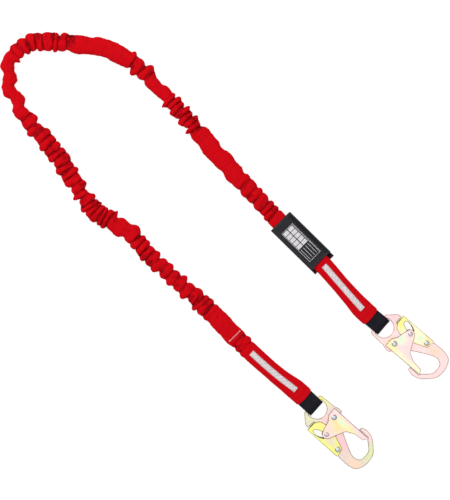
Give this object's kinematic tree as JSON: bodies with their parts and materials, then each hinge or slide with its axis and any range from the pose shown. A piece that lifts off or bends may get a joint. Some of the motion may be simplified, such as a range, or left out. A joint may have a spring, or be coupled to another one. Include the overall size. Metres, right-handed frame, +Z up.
{
  "type": "shock absorbing lanyard",
  "caption": "Red gathered shock absorbing lanyard lying in an open loop, with a double locking steel snap hook, a black wear pad and a reflective strip at each end and a black label cover.",
  "frame": {"origin": "bottom centre of the box round the two hooks and their wear pads, on the surface the lanyard lies on", "axes": "+Z up out of that surface; +X to the right and +Y to the top of the laid-out loop, with both hooks pointing towards +X and -Y"},
  "size_m": [0.7189, 0.6978, 0.0165],
  "materials": {
    "zinc_steel": "yellow zinc plated, iridescent",
    "rivet_steel": "bright",
    "spring_steel": "plain spring wire and leaf",
    "red_webbing": "woven polyester",
    "black_webbing": "woven",
    "cover_fabric": "coated weave",
    "closure_tape": "hook and loop",
    "reflective_tape": "silver retroreflective",
    "core_yarn": "partially oriented yarn",
    "elastic": "covered elastic",
    "white_thread": "bar tack",
    "card": "coated card"
  },
  "bodies": {
    "root": {"loop_webbing_a": "red_webbing", "wear_pad_a": "black_webbing", "reflective_strip_a": "reflective_tape", "loop_webbing_b": "red_webbing", "wear_pad_b": "black_webbing", "reflective_strip_b": "reflective_tape", "outer_jacket": "red_webbing", "shock_core": "core_yarn", "elastic_band_top": "elastic", "elastic_band_bottom": "elastic", "stop_stitch": "white_thread", "label_cover_back": "cover_fabric", "loop_tape": "closure_tape", "inspection_card": "card"},
    "hook_a": {"hook_a_body": "zinc_steel", "hook_a_gate_rivet": "rivet_steel", "hook_a_lock_rivet": "rivet_steel", "hook_a_gate_spring": "spring_steel", "hook_a_lock_spring": "spring_steel"},
    "hook_a_gate": {"hook_a_gate": "zinc_steel", "hook_a_lock_pin": "rivet_steel"},
    "hook_a_lock": {"hook_a_lock": "zinc_steel"},
    "hook_b": {"hook_b_body": "zinc_steel", "hook_b_gate_rivet": "rivet_steel", "hook_b_lock_rivet": "rivet_steel", "hook_b_gate_spring": "spring_steel", "hook_b_lock_spring": "spring_steel"},
    "hook_b_gate": {"hook_b_gate": "zinc_steel", "hook_b_lock_pin": "rivet_steel"},
    "hook_b_lock": {"hook_b_lock": "zinc_steel"},
    "label_flap": {"label_cover_flap": "cover_fabric", "hook_tape": "closure_tape"}
  },
  "joints": [
    {"name": "hook_a_swing", "type": "hinge", "parent": "root", "child": "hook_a", "pos_m": [0.0236, 0.0921, 0.00824], "axis": [-0.6494, -0.7604, 0], "range_deg": [-110, 110]},
    {"name": "hook_a_gate_pivot", "type": "hinge", "parent": "hook_a", "child": "hook_a_gate", "pos_m": [0.04629, 0.06154, 0.00824], "axis": [0, 0, 1], "range_deg": [0, 30], "stiffness_Nm_per_rad": 0.15, "springref_deg": -17.19, "deforming": ["hook_a_gate_spring"]},
    {"name": "hook_a_lock_pivot", "type": "hinge", "parent": "hook_a", "child": "hook_a_lock", "pos_m": [0.09799, 0.06249, 0.00824], "axis": [0, 0, 1], "range_deg": [0, 8], "deforming": ["hook_a_lock_spring"]},
    {"name": "hook_b_swing", "type": "hinge", "parent": "root", "child": "hook_b", "pos_m": [-0.0833, -0.0375, 0.00824], "axis": [-0.6691, -0.7431, 0], "range_deg": [-110, 110]},
    {"name": "hook_b_gate_pivot", "type": "hinge", "parent": "hook_b", "child": "hook_b_gate", "pos_m": [-0.05004, -0.05601, 0.00824], "axis": [0, 0, -1], "range_deg": [0, 30], "stiffness_Nm_per_rad": 0.15, "springref_deg": -17.19, "deforming": ["hook_b_gate_spring"]},
    {"name": "hook_b_lock_pivot", "type": "hinge", "parent": "hook_b", "child": "hook_b_lock", "pos_m": [-0.04423, -0.10739, 0.00824], "axis": [0, 0, -1], "range_deg": [0, 8], "deforming": ["hook_b_lock_spring"]},
    {"name": "label_flap_fold", "type": "hinge", "parent": "root", "child": "label_flap", "pos_m": [-0.08549, 0.23744, 0.00809], "axis": [-0.7134, 0.7008, 0], "range_deg": [0, 170]}
  ],
  "couplings": [
    {"joint": "hook_a_lock_pivot", "follows": "hook_a_gate_pivot", "ratio": 0.266},
    {"joint": "hook_b_lock_pivot", "follows": "hook_b_gate_pivot", "ratio": 0.266}
  ]
}
